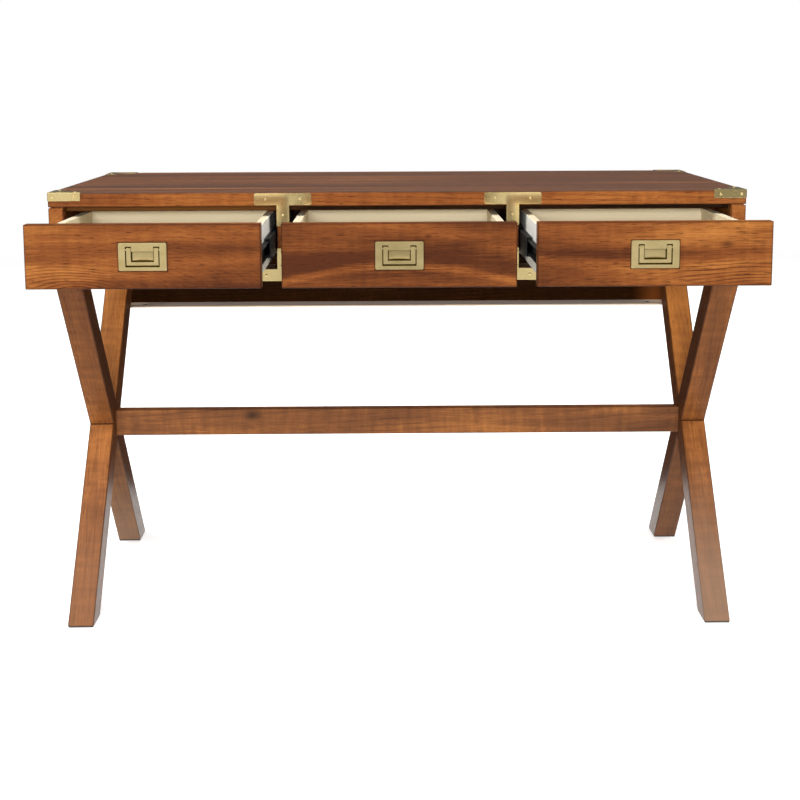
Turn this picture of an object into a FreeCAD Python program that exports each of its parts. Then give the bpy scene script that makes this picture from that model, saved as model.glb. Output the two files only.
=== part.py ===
import FreeCAD, Part
import math
import os

# Campaign desk: a three-drawer case on two crossed-leg frames, with brass corners, T-plates and flush
# pulls. Millimetres. X runs along the width, the front faces -Y, Z is up, and the origin is the centre of
# the footprint on the floor. The drawers are drawn as photographed, pulled out by drawer_pull_out.

Vector = FreeCAD.Vector

# Overall sizes
desk_width = 1168.0
desk_depth = 508.0
desk_height = 762.0

# Case
top_thickness = 24.0
top_edge_radius = 1.2
case_height = 126.0
end_panel_thickness = 24.5
end_groove_height = 2.0
end_groove_depth = 3.0
divider_thickness = 21.0
middle_opening = 364.0
bottom_rail_height = 20.0
bottom_rail_depth = 60.0
top_rail_height = 8.0
top_rail_depth = 40.0
back_panel_thickness = 6.0
back_panel_drop = 119.0
wood_edge_radius = 1.2

# Ledge along the lower edge of the back panel
ledge_depth = 56.0
ledge_thickness = 2.5
ledge_end_gap = 3.0
ledge_hole_radius = 4.5
ledge_hole_from_end = 40.0
ledge_hole_from_front = 22.0

# Crossed legs and stretcher
leg_section = 45.0
leg_edge_radius = 2.0
leg_from_end = 4.0
leg_back_clearance = 0.5
glide_thickness = 3.0
glide_inset = 1.0
stretcher_height = 50.0
stretcher_thickness = 20.0
stretcher_drop = 2.5

# Bolts and screws
bolt_radius = 3.0
bolt_head_radius = 6.0
bolt_head_height = 3.5
bolt_grip = 25.0
bolt_from_leg_front = 35.0
stretcher_bolt_grip = 40.0
screw_radius = 2.0
screw_head_radius = 4.0
screw_head_height = 2.0
screw_grip = 12.0
ledge_screw_radius = 1.2
ledge_screw_head_radius = 2.6
ledge_screw_spacing = 340.0
fixing_clearance = 0.1

# Brass plates and nails
plate_thickness = 1.5
plate_inlay = 0.5
plate_clearance = 0.2
cap_length = 54.0
cap_top_width = 20.0
cap_drop = 13.5
cap_fold_radius = 1.2
tee_bar_length = 96.0
tee_bar_height = 20.0
tee_stem_length = 35.0
tee_corner_radius = 3.5
tee_from_top = 2.0
tee_nail_offset = 29.0
tee_stem_nail_drop = 17.0
cap_nail_near = 8.0
cap_nail_far = 43.0
nail_head_radius = 2.5
nail_head_height = 1.4
nail_shank_radius = 0.8
nail_shank_length = 6.0

# Drawers
drawer_pull_out = 252.0
front_thickness = 20.0
side_front_gap = 2.75
middle_front_gap = 6.5
front_top_gap = 2.5
front_bottom_gap = 6.5
front_stop_gap = 2.0
box_wall = 12.0
box_from_front_bottom = 5.5
box_below_front_top = 14.5
bottom_thickness = 5.0
bottom_raise = 6.0
groove_depth = 5.0
groove_clearance = 0.25

# Drawer slides: three nested channels with ball retainers between them
slide_length = 350.0
slide_thickness = 12.7
slide_sheet = 1.2
slide_below_front_top = 55.5
slide_height = 40.0
slide_race = 3.3
slide_web_gap = 0.8
slide_lip_gap = 0.5
slide_lip_step = 1.5
retainer_length = 120.0
retainer_inset = 1.0
retainer_width = 4.0
retainer_clearance = 0.3

# Flush pulls
pull_side_border = 10.5
pull_end_border = 5.5
pull_proud = 2.0
pull_corner_radius = 2.5
pull_edge_chamfer = 0.7
dish_wall = 1.5
dish_floor = 3.0
dish_clearance = 0.5
pocket_width = 51.0
pocket_height = 31.0
pocket_depth = 8.0
tongue_height = 7.5
tongue_clearance = 0.5
bail_thickness = 4.0
bail_arm_width = 7.0
bail_bar_height = 5.0
bail_gap = 1.5
bail_foot_gap = 2.6
bail_corner_radius = 1.5
bail_edge_chamfer = 0.5
bail_end_length = 3.0
bail_swing_clearance = 1.6
pin_radius = 1.25
pin_clearance = 0.08
pin_seat = 1.0

# One overrun for every cut that passes through a face, and the slack for calling two directions parallel
overrun = 1.0
slant_tolerance = 1e-6

# Places that follow from the sizes above
half_width = desk_width / 2
half_depth = desk_depth / 2
case_top = desk_height - top_thickness
case_bottom = case_top - case_height
rail_top = case_bottom + bottom_rail_height
end_inner = half_width - end_panel_thickness
divider_inner = middle_opening / 2
divider_outer = divider_inner + divider_thickness
divider_centre = (divider_inner + divider_outer) / 2
back_panel_front = half_depth - back_panel_thickness
top_rail_bottom = case_top - top_rail_height
front_top_rail_start = -half_depth + front_thickness + front_stop_gap
back_top_rail_start = back_panel_front - top_rail_depth
back_bottom_rail_start = back_panel_front - bottom_rail_depth
leg_outer = half_width - leg_from_end
leg_inner = leg_outer - leg_section
leg_half_spread = back_panel_front - leg_back_clearance
leg_height = case_bottom - glide_thickness
crossing_height = glide_thickness + leg_height / 2
ledge_top = case_bottom - back_panel_drop
front_bottom = rail_top + front_bottom_gap
front_top = case_top - front_top_gap
slide_centre = front_top - slide_below_front_top
front_face = -half_depth - drawer_pull_out
front_back_face = front_face + front_thickness
box_end = front_back_face + slide_length
box_bottom = front_bottom + box_from_front_bottom
box_top = front_top - box_below_front_top
bottom_panel_low = box_bottom + bottom_raise
cabinet_slide_start = front_top_rail_start
middle_slide_height = slide_height - 2 * (slide_sheet + slide_race)
drawer_slide_height = middle_slide_height - 2 * (slide_sheet + slide_race)
middle_web_start = slide_sheet + slide_web_gap
middle_flange_reach = slide_thickness - slide_sheet - slide_lip_gap
cabinet_flange_reach = middle_flange_reach - slide_lip_step
drawer_flange_start = middle_web_start + slide_sheet + slide_web_gap
retainer_start = drawer_flange_start + retainer_inset
pull_centre = (front_bottom + front_top) / 2
pull_face = front_face - pull_proud
pull_width = pocket_width + 2 * pull_side_border
pull_height = pocket_height + 2 * pull_end_border
dish_width = pocket_width + 2 * dish_wall
dish_height = pocket_height + 2 * dish_wall
dish_depth = pocket_depth - pull_proud + dish_floor
tongue_width = pocket_width - 2 * (bail_gap + bail_arm_width + tongue_clearance)
pivot_from_pocket_top = math.hypot(bail_end_length, bail_thickness / 2) + bail_swing_clearance

# The lean of a leg whose ends are cut level: its level width plus its run fill the spread of the feet.
leg_diagonal = math.hypot(leg_height, 2 * leg_half_spread)
leg_lean = math.atan2(2 * leg_half_spread, leg_height) - math.asin(leg_section / leg_diagonal)
leg_level_width = leg_section / math.cos(leg_lean)

UP = Vector(0, 0, 1)
FRONT = Vector(0, -1, 0)
BACK = Vector(0, 1, 0)
ORIGIN = Vector(0, 0, 0)


def centred(middle, length):
    """The two limits of a length laid out evenly about its middle."""
    return (middle - length / 2, middle + length / 2)


def box(x_range, y_range, z_range):
    """A block between three pairs of limits."""
    corner = Vector(min(x_range), min(y_range), min(z_range))
    lengths = [abs(limits[1] - limits[0]) for limits in (x_range, y_range, z_range)]
    return Part.makeBox(*lengths, corner)


def along(shape, direction):
    """The straight edges of a shape that run along a direction."""
    def parallel(edge):
        run = edge.Vertexes[-1].Point - edge.Vertexes[0].Point
        return run.Length > 0 and run.normalize().cross(direction).Length < slant_tolerance
    return [edge for edge in shape.Edges if parallel(edge)]


def soft_box(x_range, y_range, z_range, radius):
    """A block with every edge rounded."""
    block = box(x_range, y_range, z_range)
    return block.makeFillet(radius, block.Edges)


def merged(shapes):
    """One solid out of overlapping or touching shapes."""
    return shapes[0].multiFuse(shapes[1:]).removeSplitter()


def mirrored_x(shape):
    """The shape's mirror image on the other side of the desk."""
    return shape.mirror(ORIGIN, Vector(1, 0, 0))


def mirrored_y(shape):
    """The shape's mirror image from front to back."""
    return shape.mirror(ORIGIN, BACK)


def aimed(shape, base, direction):
    """A shape drawn along +Z, moved to a base point and turned to a direction."""
    copy = shape.copy()
    copy.Placement = FreeCAD.Placement(base, FreeCAD.Rotation(UP, direction))
    return copy


def rod(radius, base, direction, length):
    """A round bar from a base point."""
    return Part.makeCylinder(radius, length, base, direction)


def save(name, *shapes):
    """Write one node, a single solid or a group of separate solids."""
    solids = [solid for shape in shapes for solid in shape.Solids]
    node = solids[0] if len(solids) == 1 else Part.makeCompound(solids)
    node.exportStep(f"parts/{name}.step")


def headed_fixing(radius, head_radius, head_height, length):
    """A bolt or screw along +Z: the shank points up from the head's seat at zero."""
    head = rod(head_radius, Vector(0, 0, -head_height), UP, head_height)
    return head.fuse(rod(radius, ORIGIN, UP, length)).removeSplitter()


def fixing_hole(radius, base, direction, length):
    """A clearance hole for a shank that starts at its head's seat."""
    start = base - direction * overrun
    return rod(radius + fixing_clearance, start, direction, length + 2 * overrun)


def domed_nail():
    """A round-headed nail whose head sits on z = 0 and whose shank points down."""
    sphere_radius = (nail_head_radius ** 2 + nail_head_height ** 2) / (2 * nail_head_height)
    middle_angle = math.asin(nail_head_radius / sphere_radius) / 2
    middle = Vector(
        sphere_radius * math.sin(middle_angle),
        0,
        sphere_radius * math.cos(middle_angle) - sphere_radius + nail_head_height,
    )
    rim = Vector(nail_head_radius, 0, 0)
    crown = Vector(0, 0, nail_head_height)
    edges = [
        Part.makeLine(ORIGIN, rim),
        Part.Arc(rim, middle, crown).toShape(),
        Part.makeLine(crown, ORIGIN),
    ]
    head = Part.Face(Part.Wire(edges)).revolve(ORIGIN, UP, 360)
    shank = rod(nail_shank_radius, ORIGIN, -UP, nail_shank_length)
    return head.fuse(shank).removeSplitter()


# Nails: each one is a seat on a plate's face and the direction out of that face.
def cap_nail_seats(side, end):
    """The six nails of one corner cap; side is +1 to the right, end is -1 to the front."""
    proud = plate_thickness - plate_inlay
    sideways = Vector(side, 0, 0)
    endways = Vector(0, end, 0)
    height = desk_height - cap_drop / 2
    seats = []
    for distance in (cap_nail_near, cap_nail_far):
        on_end = Vector(side * (half_width - distance), end * (half_depth + proud), height)
        on_side = Vector(side * (half_width + proud), end * (half_depth - distance), height)
        seats += [(on_end, endways), (on_side, sideways)]
    inset = cap_top_width / 2
    level = desk_height + proud
    seats.append((Vector(side * (half_width - cap_nail_far), end * (half_depth - inset), level), UP))
    seats.append((Vector(side * (half_width - inset), end * (half_depth - cap_nail_far), level), UP))
    return seats


def tee_nail_seats(side, bar_middle, stem_sign):
    """The three nails of one T-plate; the stem runs up or down from the bar by stem_sign."""
    face = -half_depth - plate_thickness
    centre = side * divider_centre
    stem_nail = bar_middle + stem_sign * (tee_bar_height / 2 + tee_stem_nail_drop)
    return [
        (Vector(centre - tee_nail_offset, face, bar_middle), FRONT),
        (Vector(centre + tee_nail_offset, face, bar_middle), FRONT),
        (Vector(centre, face, stem_nail), FRONT),
    ]


CORNERS = {
    "front_left": (-1, -1),
    "front_right": (1, -1),
    "back_left": (-1, 1),
    "back_right": (1, 1),
}
upper_bar_top = desk_height - tee_from_top
upper_bar_middle = upper_bar_top - tee_bar_height / 2
lower_bar_middle = case_bottom + tee_bar_height / 2
cap_seats = {corner: cap_nail_seats(*signs) for corner, signs in CORNERS.items()}
upper_tee_seats = [seat for side in (-1, 1) for seat in tee_nail_seats(side, upper_bar_middle, -1)]
lower_tee_seats = [seat for side in (-1, 1) for seat in tee_nail_seats(side, lower_bar_middle, 1)]
nail_seats = [seat for seats in cap_seats.values() for seat in seats] + upper_tee_seats + lower_tee_seats
nail_holes = [
    rod(nail_shank_radius + fixing_clearance, base + out * overrun, -out, nail_shank_length + 2 * overrun)
    for base, out in nail_seats
]

# Screws up through the top rails into the top, and up through the ledge into the back panel's edge
opening_centres = {
    "left": -(end_inner + divider_outer) / 2,
    "middle": 0.0,
    "right": (end_inner + divider_outer) / 2,
}
top_screw_length = top_rail_height + screw_grip
top_screw_bases = [
    Vector(x, start + top_rail_depth / 2, top_rail_bottom)
    for x in opening_centres.values()
    for start in (front_top_rail_start, back_top_rail_start)
]
top_screw_holes = [fixing_hole(screw_radius, base, UP, top_screw_length) for base in top_screw_bases]
ledge_low = ledge_top - ledge_thickness
ledge_screw_length = ledge_thickness + screw_grip
ledge_screw_row = half_depth - back_panel_thickness / 2
ledge_screw_bases = [Vector(step * ledge_screw_spacing, ledge_screw_row, ledge_low) for step in (-1, 0, 1)]
ledge_screw_holes = [
    fixing_hole(ledge_screw_radius, base, UP, ledge_screw_length) for base in ledge_screw_bases
]

# Bolts down through the bottom rails into the leg tops, and through the crossings into the stretcher
bolt_column = (leg_inner + end_inner) / 2
bolt_row = leg_half_spread - bolt_from_leg_front
leg_bolt_length = bottom_rail_height + bolt_grip
leg_bolt_bases = [
    Vector(side * bolt_column, end * bolt_row, rail_top) for side, end in CORNERS.values()
]
leg_bolt_holes = [fixing_hole(bolt_radius, base, -UP, leg_bolt_length) for base in leg_bolt_bases]
crossing_bolt_length = leg_section + stretcher_bolt_grip
crossing_bolts = [(Vector(side * leg_outer, 0, crossing_height), Vector(-side, 0, 0)) for side in (-1, 1)]
crossing_bolt_holes = [
    fixing_hole(bolt_radius, base, inward, crossing_bolt_length) for base, inward in crossing_bolts
]


def cap_shell(side, end, inner, outer, reach, drop, top_width):
    """Three meeting flanges round one top corner, from inner to outer of the top's own faces."""
    def flange(x_depths, y_depths, z_depths):
        x_range = [side * (half_width - depth) for depth in x_depths]
        y_range = [end * (half_depth - depth) for depth in y_depths]
        z_range = [desk_height - depth for depth in z_depths]
        return box(x_range, y_range, z_range)
    return [
        flange((-outer, reach), (-outer, top_width), (-outer, inner)),
        flange((-outer, top_width), (-outer, reach), (-outer, inner)),
        flange((-outer, reach), (-outer, inner), (-outer, drop)),
        flange((-outer, inner), (-outer, reach), (-outer, drop)),
    ]


def desk_top():
    """The top board, with shallow seats for the corner caps let into it."""
    board = box((-half_width, half_width), (-half_depth, half_depth), (case_top, desk_height))
    rims = along(board, Vector(1, 0, 0)) + along(board, BACK)
    board = board.makeFillet(top_edge_radius, rims)
    seats = []
    for side, end in CORNERS.values():
        seats += cap_shell(
            side,
            end,
            plate_inlay,
            overrun,
            cap_length + plate_clearance,
            cap_drop + plate_clearance,
            cap_top_width + plate_clearance,
        )
    return board.cut(seats).cut(nail_holes + top_screw_holes)


def end_panel():
    """The right end of the case, with a shadow groove under the top."""
    panel = box((end_inner, half_width), (-half_depth, half_depth), (case_bottom, case_top))
    outer = [edge for edge in panel.Edges if edge.CenterOfMass.x > half_width - end_groove_depth]
    low = [edge for edge in outer if edge.CenterOfMass.z < case_top - end_groove_height]
    panel = panel.makeFillet(wood_edge_radius, low)
    groove_z = (case_top - end_groove_height, case_top)
    kept = box(
        (end_inner, half_width - end_groove_depth),
        (-half_depth + end_groove_depth, half_depth - end_groove_depth),
        groove_z,
    )
    band = box((end_inner, half_width), (-half_depth, half_depth), groove_z)
    return panel.cut(band.cut(kept))


def bottom_rail(start):
    """A rail under the drawers, from end panel to end panel."""
    rail = box((-end_inner, end_inner), (start, start + bottom_rail_depth), (case_bottom, rail_top))
    return rail.cut(leg_bolt_holes + nail_holes)


def top_rail(start):
    """A thin strip under the top, from end panel to end panel."""
    rail = box((-end_inner, end_inner), (start, start + top_rail_depth), (top_rail_bottom, case_top))
    return rail.cut(top_screw_holes)


def divider(top_rails):
    """The right upright between two drawers, notched for the top rails."""
    board = box((divider_inner, divider_outer), (-half_depth, back_panel_front), (rail_top, case_top))
    return board.cut(top_rails + nail_holes)


def back_panel():
    """The thin back board that hangs below the case."""
    board = box((-end_inner, end_inner), (back_panel_front, half_depth), (ledge_top, case_top))
    return board.cut(ledge_screw_holes)


def back_ledge():
    """The flat strip under the back panel's lower edge, with a hole near each end."""
    half_length = end_inner - ledge_end_gap
    front = half_depth - ledge_depth
    strip = box((-half_length, half_length), (front, half_depth), (ledge_low, ledge_top))
    column = half_length - ledge_hole_from_end
    row = front + ledge_hole_from_front
    cuts = list(ledge_screw_holes)
    for side in (-1, 1):
        base = Vector(side * column, row, ledge_low - overrun)
        cuts.append(rod(ledge_hole_radius, base, UP, ledge_thickness + 2 * overrun))
    return strip.cut(cuts)


def whole_leg():
    """The right leg with its foot in front, before it is halved at the crossing."""
    foot = -leg_half_spread
    head = leg_half_spread
    outline = [
        Vector(leg_inner, foot, glide_thickness),
        Vector(leg_inner, foot + leg_level_width, glide_thickness),
        Vector(leg_inner, head, case_bottom),
        Vector(leg_inner, head - leg_level_width, case_bottom),
    ]
    bar = Part.Face(Part.makePolygon(outline + outline[:1])).extrude(Vector(leg_section, 0, 0))
    lean = Vector(0, math.sin(leg_lean), math.cos(leg_lean))
    return bar.makeFillet(leg_edge_radius, along(bar, lean))


def leg_pair():
    """The right pair of legs, each halved to take the other; the front-footed leg keeps the inner half."""
    front_footed = whole_leg()
    back_footed = mirrored_y(front_footed)
    middle = leg_inner + leg_section / 2
    span = (-leg_half_spread, leg_half_spread)
    height = (glide_thickness, case_bottom)
    inner_half = box((leg_inner, middle), span, height)
    outer_half = box((middle, leg_outer), span, height)
    holes = leg_bolt_holes + crossing_bolt_holes
    squared = squared_crossing()
    front_footed = front_footed.cut(squared.common(outer_half))
    back_footed = back_footed.cut(squared.common(inner_half))
    return front_footed.cut(holes), back_footed.cut(holes)


def squared_crossing():
    """The diamond prism where the two legs of the right pair share the same space."""
    half_level = leg_level_width / 2
    half_rise = half_level / math.tan(leg_lean)
    outline = [
        Vector(leg_inner, -half_level, crossing_height),
        Vector(leg_inner, 0, crossing_height + half_rise),
        Vector(leg_inner, half_level, crossing_height),
        Vector(leg_inner, 0, crossing_height - half_rise),
    ]
    return Part.Face(Part.makePolygon(outline + outline[:1])).extrude(Vector(leg_section, 0, 0))


def foot_glide():
    """The pad under the right front foot."""
    x_range = (leg_inner + glide_inset, leg_outer - glide_inset)
    y_range = (-leg_half_spread + glide_inset, -leg_half_spread + leg_level_width - glide_inset)
    return box(x_range, y_range, (0, glide_thickness))


def stretcher():
    """The rail from crossing to crossing, its middle stretcher_drop below theirs."""
    middle = crossing_height - stretcher_drop
    rail = box((-leg_inner, leg_inner), centred(0, stretcher_thickness), centred(middle, stretcher_height))
    rail = rail.makeFillet(leg_edge_radius, along(rail, Vector(1, 0, 0)))
    return rail.cut(crossing_bolt_holes)


def corner_cap(side, end):
    """A folded brass corner, let into the top by plate_inlay, with its three folds rounded."""
    proud = plate_thickness - plate_inlay
    shell = merged(cap_shell(side, end, plate_inlay, proud, cap_length, cap_drop, cap_top_width))
    corner = Vector(side * (half_width + proud), end * (half_depth + proud), desk_height + proud)
    folds = [
        edge
        for edge in shell.Edges
        if any(vertex.Point.isEqual(corner, plate_inlay) for vertex in edge.Vertexes)
    ]
    return shell.makeFillet(cap_fold_radius, folds).cut(nail_holes)


def tee_plate(bar_middle, stem_sign):
    """The right T-plate on the case's front, with its stem up or down."""
    y_range = (-half_depth - plate_thickness, -half_depth)
    stem_z = (bar_middle, bar_middle + stem_sign * (tee_bar_height / 2 + tee_stem_length))
    bar = box(centred(divider_centre, tee_bar_length), y_range, centred(bar_middle, tee_bar_height))
    bar = bar.makeFillet(tee_corner_radius, along(bar, BACK))
    stem = box((divider_inner, divider_outer), y_range, stem_z)
    return merged([bar, stem]).cut(nail_holes)


def channel(wall, inward, web, flange, height, y_range):
    """A slide member with its web and two flanges, at depths from the case wall along inward."""
    web_x = [wall + inward * depth for depth in web]
    flange_x = [wall + inward * depth for depth in flange]
    half = height / 2
    return merged([
        box(web_x, y_range, centred(slide_centre, height)),
        box(flange_x, y_range, (slide_centre + half - slide_sheet, slide_centre + half)),
        box(flange_x, y_range, (slide_centre - half, slide_centre - half + slide_sheet)),
    ])


def cabinet_slide(wall, inward):
    """The fixed member on a case wall."""
    y_range = (cabinet_slide_start, cabinet_slide_start + slide_length)
    return channel(wall, inward, (0, slide_sheet), (0, cabinet_flange_reach), slide_height, y_range)


def middle_slide(wall, inward):
    """The intermediate member with its four ball retainers, half as far out as the drawer."""
    start = cabinet_slide_start - drawer_pull_out / 2
    y_range = (start, start + slide_length)
    web = (middle_web_start, middle_web_start + slide_sheet)
    flange = (middle_web_start, middle_flange_reach)
    member = channel(wall, inward, web, flange, middle_slide_height, y_range)
    x_range = [wall + inward * depth for depth in (retainer_start, retainer_start + retainer_width)]
    half = middle_slide_height / 2
    outer_z = (half, slide_height / 2 - slide_sheet - retainer_clearance)
    inner_z = (drawer_slide_height / 2 + retainer_clearance, half - slide_sheet)
    rear_y = (y_range[1] - retainer_length, y_range[1])
    front_y = (y_range[0], y_range[0] + retainer_length)
    retainers = []
    for sign in (-1, 1):
        for depths, span in ((outer_z, rear_y), (inner_z, front_y)):
            retainers.append(box(x_range, span, [slide_centre + sign * depth for depth in depths]))
    return [member] + retainers


def drawer_slide(wall, inward):
    """The member on the drawer's side."""
    y_range = (front_back_face, front_back_face + slide_length)
    web = (slide_thickness - slide_sheet, slide_thickness)
    return channel(wall, inward, web, (drawer_flange_start, slide_thickness), drawer_slide_height, y_range)


def drawer_front(centre, width):
    """A drawer front with its mortise for the pull and its groove for the bottom."""
    y_range = (front_face, front_back_face)
    board = soft_box(centred(centre, width), y_range, (front_bottom, front_top), wood_edge_radius)
    mortise = box(
        centred(centre, dish_width + 2 * dish_clearance),
        (front_face - overrun, front_face + dish_depth + dish_clearance),
        centred(pull_centre, dish_height + 2 * dish_clearance),
    )
    return board.cut(mortise)


def pull_plate(centre):
    """The brass plate with its pocket for the bail, and a tongue between the bail's arms."""
    plate = box(centred(centre, pull_width), (pull_face, front_face), centred(pull_centre, pull_height))
    plate = plate.makeFillet(pull_corner_radius, along(plate, BACK))
    plate = plate.makeChamfer(pull_edge_chamfer, pull_rim(plate, pull_edge_chamfer))
    dish_y = (front_face, front_face + dish_depth)
    dish = box(centred(centre, dish_width), dish_y, centred(pull_centre, dish_height))
    pocket_y = (pull_face - overrun, pull_face + pocket_depth)
    pocket_z = centred(pull_centre, pocket_height)
    pocket = box(centred(centre, pocket_width), pocket_y, pocket_z)
    tongue = box(
        centred(centre, tongue_width),
        (pull_face, pull_face + bail_thickness),
        (pocket_z[1] - tongue_height, pocket_z[1] + overrun),
    )
    return merged([plate.fuse(dish).cut(pocket), tongue])


def pull_rim(shape, depth):
    """The edges of a pull's piece that lie on its front face."""
    return [edge for edge in shape.Edges if edge.CenterOfMass.y < pull_face + depth / 2]


def pivot_point(centre, x_offset):
    """A point on the bail's pivot line."""
    height = pull_centre + pocket_height / 2 - pivot_from_pocket_top
    return Vector(centre + x_offset, pull_face + bail_thickness / 2, height)


def pull_pins(centre):
    """The two pins, from the plate's cheeks through the bail's arms into the tongue."""
    inner = tongue_width / 2 - pin_seat
    length = pocket_width / 2 + pin_seat - inner
    return [
        rod(pin_radius, pivot_point(centre, side * inner), Vector(side, 0, 0), length) for side in (-1, 1)
    ]


def bail(centre):
    """The U handle, flush with the plate, with a round hole at the head of each arm."""
    width = pocket_width - 2 * bail_gap
    low = pull_centre - pocket_height / 2 + bail_foot_gap
    high = pivot_point(centre, 0).z + bail_end_length
    block = box(centred(centre, width), (pull_face, pull_face + bail_thickness), (low, high))
    lower_edges = [edge for edge in along(block, BACK) if edge.CenterOfMass.z < pull_centre]
    block = block.makeFillet(bail_corner_radius, lower_edges)
    window = box(
        centred(centre, width - 2 * bail_arm_width),
        (pull_face - overrun, pull_face + bail_thickness + overrun),
        (low + bail_bar_height, high + overrun),
    )
    handle = block.cut(window)
    handle = handle.makeChamfer(bail_edge_chamfer, pull_rim(handle, bail_edge_chamfer))
    bore_start = pivot_point(centre, -width / 2 - overrun)
    bore = rod(pin_radius + pin_clearance, bore_start, Vector(1, 0, 0), width + 2 * overrun)
    return handle.cut(bore)


def build_drawer(name, centre, opening, front_gap):
    """Write every node of one drawer, its two moving slide pairs and its pull."""
    left_wall = centre - opening / 2
    right_wall = centre + opening / 2
    half_box = opening / 2 - slide_thickness
    half_inside = half_box - box_wall
    tuck = groove_depth - groove_clearance
    back_start = box_end - box_wall
    bottom_x = (centre - half_inside - tuck, centre + half_inside + tuck)
    bottom_y = (front_back_face - tuck, back_start + tuck)
    bottom_z = (bottom_panel_low, bottom_panel_low + bottom_thickness)
    bottom = box(bottom_x, bottom_y, bottom_z)
    groove = box(
        (bottom_x[0] - groove_clearance, bottom_x[1] + groove_clearance),
        (bottom_y[0] - groove_clearance, bottom_y[1] + groove_clearance),
        (bottom_z[0], bottom_z[1] + groove_clearance),
    )
    box_z = (box_bottom, box_top)
    side_y = (front_back_face, box_end)
    left_side = box((centre - half_box, centre - half_inside), side_y, box_z)
    right_side = box((centre + half_inside, centre + half_box), side_y, box_z)
    back = box((centre - half_inside, centre + half_inside), (back_start, box_end), box_z)
    plate = pull_plate(centre)
    pins = pull_pins(centre)
    plate = plate.cut(pins)
    save(f"{name}_drawer_front", drawer_front(centre, opening - 2 * front_gap).cut(groove))
    save(f"{name}_drawer_left_side", left_side.cut(groove))
    save(f"{name}_drawer_right_side", right_side.cut(groove))
    save(f"{name}_drawer_back", back.cut(groove))
    save(f"{name}_drawer_bottom", bottom)
    save(f"{name}_drawer_slides", drawer_slide(left_wall, 1), drawer_slide(right_wall, -1))
    save(f"{name}_middle_slides", *middle_slide(left_wall, 1), *middle_slide(right_wall, -1))
    save(f"{name}_pull_plate", plate)
    save(f"{name}_pull_pins", *pins)
    save(f"{name}_bail", bail(centre))
    return [cabinet_slide(left_wall, 1), cabinet_slide(right_wall, -1)]


def build_case():
    """Write the nodes of the case."""
    front_top = top_rail(front_top_rail_start)
    back_top = top_rail(back_top_rail_start)
    right_divider = divider([front_top, back_top])
    right_end = end_panel()
    save("desk_top", desk_top())
    save("right_end_panel", right_end)
    save("left_end_panel", mirrored_x(right_end))
    save("right_divider", right_divider)
    save("left_divider", mirrored_x(right_divider))
    save("front_bottom_rail", bottom_rail(-half_depth))
    save("back_bottom_rail", bottom_rail(back_bottom_rail_start))
    save("front_top_rail", front_top)
    save("back_top_rail", back_top)
    save("back_panel", back_panel())
    save("back_ledge", back_ledge())


def build_legs():
    """Write the two crossed-leg frames, the stretcher, the glides and the bolts."""
    front_footed, back_footed = leg_pair()
    save("right_leg_front_foot", front_footed)
    save("right_leg_back_foot", back_footed)
    save("left_leg_front_foot", mirrored_x(front_footed))
    save("left_leg_back_foot", mirrored_x(back_footed))
    save("stretcher", stretcher())
    glides = [foot_glide()]
    glides += [mirrored_x(glide) for glide in glides]
    glides += [mirrored_y(glide) for glide in glides]
    save("foot_glides", *glides)
    leg_bolt = headed_fixing(bolt_radius, bolt_head_radius, bolt_head_height, leg_bolt_length)
    crossing_bolt = headed_fixing(bolt_radius, bolt_head_radius, bolt_head_height, crossing_bolt_length)
    bolts = [aimed(leg_bolt, base, -UP) for base in leg_bolt_bases]
    bolts += [aimed(crossing_bolt, base, inward) for base, inward in crossing_bolts]
    save("frame_bolts", *bolts)
    top_screw = headed_fixing(screw_radius, screw_head_radius, screw_head_height, top_screw_length)
    ledge_screw = headed_fixing(
        ledge_screw_radius, ledge_screw_head_radius, screw_head_height, ledge_screw_length
    )
    screws = [aimed(top_screw, base, UP) for base in top_screw_bases]
    screws += [aimed(ledge_screw, base, UP) for base in ledge_screw_bases]
    save("case_screws", *screws)


def build_brass():
    """Write the corner caps, the T-plates and their nails."""
    for corner, (side, end) in CORNERS.items():
        save(f"{corner}_cap", corner_cap(side, end))
    for name, bar_middle, stem_sign in (
        ("upper_tee_plates", upper_bar_middle, -1),
        ("lower_tee_plates", lower_bar_middle, 1),
    ):
        right = tee_plate(bar_middle, stem_sign)
        save(name, right, mirrored_x(right))
    nail = domed_nail()
    save("plate_nails", *[aimed(nail, base, out) for base, out in nail_seats])


def build_drawers():
    """Write the three drawers and the fixed slide members that carry them."""
    side_opening = end_inner - divider_outer
    openings = {
        "left": (side_opening, side_front_gap),
        "middle": (middle_opening, middle_front_gap),
        "right": (side_opening, side_front_gap),
    }
    cabinet_slides = []
    for name, (opening, gap) in openings.items():
        cabinet_slides += build_drawer(name, opening_centres[name], opening, gap)
    save("cabinet_slides", *cabinet_slides)


os.makedirs("parts", exist_ok=True)
build_case()
build_legs()
build_brass()
build_drawers()
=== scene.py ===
"""Looks of a campaign desk: stained boards, brass, painted boxes, steel slides and a studio."""

import math

import bmesh
import bpy
import numpy as np
from mathutils import Matrix, Vector


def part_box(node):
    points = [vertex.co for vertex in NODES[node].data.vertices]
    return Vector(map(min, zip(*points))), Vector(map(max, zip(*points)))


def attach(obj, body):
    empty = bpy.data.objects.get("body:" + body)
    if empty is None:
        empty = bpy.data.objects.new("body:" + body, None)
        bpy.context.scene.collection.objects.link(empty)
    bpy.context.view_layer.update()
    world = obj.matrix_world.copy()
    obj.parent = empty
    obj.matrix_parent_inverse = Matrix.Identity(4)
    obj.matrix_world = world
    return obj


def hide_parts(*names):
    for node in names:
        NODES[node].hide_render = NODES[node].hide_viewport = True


bl_info = {
    "name": "Campaign desk looks",
    "version": (1, 0, 0),
    "blender": (4, 5, 0),
    "location": "View3D > Sidebar > Desk",
    "description": "Finishes and small parts of a three-drawer campaign desk, with its studio",
    "category": "Object",
}

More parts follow.
